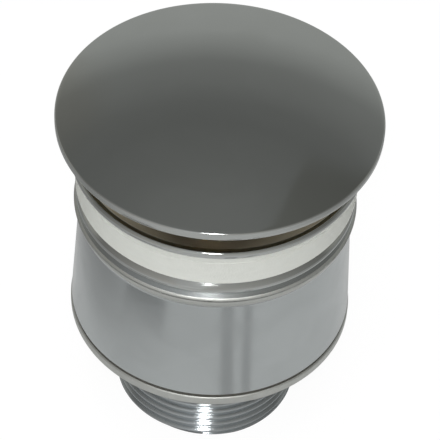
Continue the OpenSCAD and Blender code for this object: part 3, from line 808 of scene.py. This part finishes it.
fall = add(tree, "ShaderNodeMapRange", {"Value": past.outputs[0], "From Max": LIT_FADE * MM},
           interpolation_type="SMOOTHSTEP")
far_tone = add(tree, "ShaderNodeMapRange", {"Value": bearing["Y"], "From Min": -1.0, "From Max": -0.1,
                                            "To Min": FRONT_TONE, "To Max": SIDE_TONE},
               interpolation_type="SMOOTHSTEP")
back_tone = add(tree, "ShaderNodeMapRange", {"Value": bearing["Y"], "From Min": 0.6, "From Max": 1.0,
                                             "To Max": NEAR_TONE - SIDE_TONE},
                interpolation_type="SMOOTHSTEP")
far_tone = add(tree, "ShaderNodeMath", {0: far_tone.outputs[0], 1: back_tone.outputs[0]}, operation="ADD")
metal_tone = add(tree, "ShaderNodeMapRange", {"Value": fall.outputs[0], "To Min": NEAR_TONE,
                                              "To Max": far_tone.outputs[0]})
# Painted shade at the object's foot, which only metal sees in the paper's glow.
foot_shade = add(tree, "ShaderNodeMapRange", {"Value": away, "From Min": SHADE_START * MM,
                                              "From Max": SHADE_END * MM, "To Min": SHADE_TONE,
                                              "To Max": 1.0}, interpolation_type="SMOOTHSTEP")
metal_tone = add(tree, "ShaderNodeMath", {0: metal_tone.outputs[0], 1: foot_shade.outputs[0]},
                 operation="MULTIPLY")
strength = add(tree, "ShaderNodeMapRange", {"Value": ray.outputs["Is Camera Ray"],
                                            "To Min": metal_tone.outputs[0], "To Max": CAMERA_TONE})
matt = add(tree, "ShaderNodeBsdfDiffuse", {"Color": linear("#F2F2F2")})
glow = add(tree, "ShaderNodeEmission", {"Color": (1, 1, 1, 1), "Strength": strength.outputs[0]})
mixed = add(tree, "ShaderNodeMixShader", {0: glow_share.outputs[0], 1: matt.outputs[0], 2: glow.outputs[0]})
tree.links.new(mixed.outputs[0], output.inputs["Surface"])
REACH = 4000
flat_sheet("paper_floor", [(-REACH, -REACH), (REACH, -REACH), (REACH, REACH), (-REACH, REACH)], 0, paper)

# Painted reflections: glowing grey sheets lie on the paper in front of the object, out of the picture. They
# only show as the soft upright streaks in the bell cover's polish. Each has a tone and an outline.
CARDS = {
    "left_card": (0.25, [(-72, -41), (-62, -54), (-53, -63), (-40, -71), (-44, -82), (-66, -80),
                         (-86, -56)]),
    "middle_card": (0.42, [(8.5, -48), (14.5, -47), (30, -98), (15, -100)]),
    "right_card": (0.43, [(20.5, -52), (25.5, -50), (51, -88), (41, -92)]),
}
CARD_HEIGHT = 1
CARD_CLOUD = 8
CARD_UNEVEN = 0.1
for name, (tone, outline) in CARDS.items():
    card_reflection_glow, tree, output, place = start_material(name + "_grey")
    weave = add(tree, "ShaderNodeTexNoise", {"Vector": place, "Scale": PER_MM / CARD_CLOUD})
    level = add(tree, "ShaderNodeMapRange", {"Value": weave.outputs["Fac"],
                                             "To Min": tone * (1 - CARD_UNEVEN),
                                             "To Max": tone * (1 + CARD_UNEVEN)})
    # Each sheet glows at its tone, though it is no lamp: a painted reflection.
    card_glow = add(tree, "ShaderNodeEmission", {"Strength": level.outputs[0]})
    tree.links.new(card_glow.outputs[0], output.inputs["Surface"])
    card = flat_sheet(name, outline, CARD_HEIGHT, card_reflection_glow)
    card.visible_camera = False
    card.visible_diffuse = False
    card.visible_shadow = False

# The room: bright paper low down behind the object, dim above, and dim behind the camera too, except
# for a soft glow low down on that side. Ranges are of the direction's X, Y and Z.
world = bpy.data.worlds.new("studio")
bpy.context.scene.world = world
world.use_nodes = True
tree = world.node_tree
tree.nodes.clear()
direction = add(tree, "ShaderNodeTexCoord").outputs["Generated"]
parts = add(tree, "ShaderNodeSeparateXYZ", {0: direction})
# Tones of the backdrop by the height of the direction, and the tint that they share.
BACKDROP = [(0.0, 0.5), (0.1, 0.43), (0.22, 0.43), (0.33, 0.415), (0.44, 0.33), (0.53, 0.24),
            (0.64, 0.21), (0.72, 0.173), (0.79, 0.161), (0.9, 0.177), (0.985, 0.21)]
BACKDROP_TINT = (0.99, 1.005, 0.98)
backdrop = add(tree, "ShaderNodeValToRGB", {"Fac": parts.outputs["Z"]})
ramp = backdrop.color_ramp
ramp.elements[0].position, ramp.elements[1].position = BACKDROP[0][0], BACKDROP[-1][0]
for position, level in BACKDROP[1:-1]:
    ramp.elements.new(position)
for stop, (position, level) in zip(ramp.elements, BACKDROP):
    stop.color = (*(level * part for part in BACKDROP_TINT), 1)
ROOM_TONE, FRONT_GLOW, GLOW_SPREAD = 0.24, 0.69, 1.5
BACKDROP_EDGE = (-0.1, 0.15)
toward_front = add(tree, "ShaderNodeMath", {0: parts.outputs["Y"], 1: -1.0}, operation="MULTIPLY",
                   use_clamp=True)
glow = add(tree, "ShaderNodeMath", {0: toward_front.outputs[0], 1: GLOW_SPREAD}, operation="POWER")
camera_side = add(tree, "ShaderNodeMapRange", {"Value": glow.outputs[0], "To Min": ROOM_TONE,
                                               "To Max": FRONT_GLOW})
behind = add(tree, "ShaderNodeMapRange", {"Value": parts.outputs["Y"], "From Min": BACKDROP_EDGE[0],
                                          "From Max": BACKDROP_EDGE[1]}, interpolation_type="SMOOTHSTEP")
whole = add(tree, "ShaderNodeMix", {0: behind.outputs[0], 6: camera_side.outputs[0],
                                    7: backdrop.outputs["Color"]}, data_type="RGBA")
# A warmer tone low down on the left, and a darker one with a straight edge overhead on the right.
WARM_TONE, DARK_TONE = (0.9, 0.875, 0.84, 1), (0.8, 0.79, 0.76, 1)
WARM_SIDE, WARM_TOP = (-0.28, -0.45), (0.8, 0.62)
DARK_EDGE, DARK_END = (0.162, 0.172), (0.56, 0.4)
DARK_EDGE_TURN = -0.26
warm_side = add(tree, "ShaderNodeMapRange", {"Value": parts.outputs["X"], "From Min": WARM_SIDE[0],
                                             "From Max": WARM_SIDE[1]}, interpolation_type="SMOOTHSTEP")
warm_top = add(tree, "ShaderNodeMapRange", {"Value": parts.outputs["Z"], "From Min": WARM_TOP[0],
                                            "From Max": WARM_TOP[1]}, interpolation_type="SMOOTHSTEP")
warm = add(tree, "ShaderNodeMath", {0: warm_side.outputs[0], 1: warm_top.outputs[0]}, operation="MULTIPLY")
whole = add(tree, "ShaderNodeMix", {0: warm.outputs[0], 6: whole.outputs[2], 7: WARM_TONE},
            data_type="RGBA", blend_type="MULTIPLY")
dark_line = add(tree, "ShaderNodeMath", {0: parts.outputs["Y"], 1: DARK_EDGE_TURN, 2: parts.outputs["X"]},
                operation="MULTIPLY_ADD")
dark_side = add(tree, "ShaderNodeMapRange", {"Value": dark_line.outputs[0], "From Min": DARK_EDGE[0],
                                             "From Max": DARK_EDGE[1]})
dark_end = add(tree, "ShaderNodeMapRange", {"Value": parts.outputs["Y"], "From Min": DARK_END[0],
                                            "From Max": DARK_END[1]}, interpolation_type="SMOOTHSTEP")
dark = add(tree, "ShaderNodeMath", {0: dark_side.outputs[0], 1: dark_end.outputs[0]}, operation="MULTIPLY")
whole = add(tree, "ShaderNodeMix", {0: dark.outputs[0], 6: whole.outputs[2], 7: DARK_TONE},
            data_type="RGBA", blend_type="MULTIPLY")
ray = add(tree, "ShaderNodeLightPath")
seen = add(tree, "ShaderNodeMix", {0: ray.outputs["Is Camera Ray"], 6: whole.outputs[2], 7: (1, 1, 1, 1)},
           data_type="RGBA")
air = add(tree, "ShaderNodeBackground", {"Color": seen.outputs[2], "Strength": 1.0})
add(tree, "ShaderNodeOutputWorld", {"Surface": air.outputs[0]})


def lamp(name, place, target, size, power, in_reflections):
    """A round area lamp at a place, turned to a target, shown in reflections only where it should be."""
    light = bpy.data.lights.new(name, "AREA")
    light.shape = "DISK"
    light.size = size
    light.energy = power
    lit = bpy.data.objects.new(name, light)
    lit.location = place
    lit.rotation_euler = (Vector(target) - Vector(place)).to_track_quat("-Z", "Y").to_euler()
    lit.visible_glossy = in_reflections
    lit.visible_camera = False
    bpy.context.scene.collection.objects.link(lit)


BELL_MIDDLE, FLASH_TARGET = (0, 0, 0.05), (0, 0, 0.06)
FLASH_ABOVE_EYE = 0.012
flash_place = tuple(eye + up * FLASH_ABOVE_EYE)
lamp("overhead_softbox", (-0.04, -0.1, 0.9), BELL_MIDDLE, size=0.7, power=3.3, in_reflections=False)
lamp("front_softbox", (-0.08, -0.45, 0.75), BELL_MIDDLE, size=0.4, power=0.9, in_reflections=False)
lamp("flash", flash_place, FLASH_TARGET, size=0.035, power=0.6, in_reflections=True)
lamp("flash_reflector", flash_place, FLASH_TARGET, size=0.095, power=0.32, in_reflections=True)

bpy.context.scene.view_settings.view_transform = "Standard"
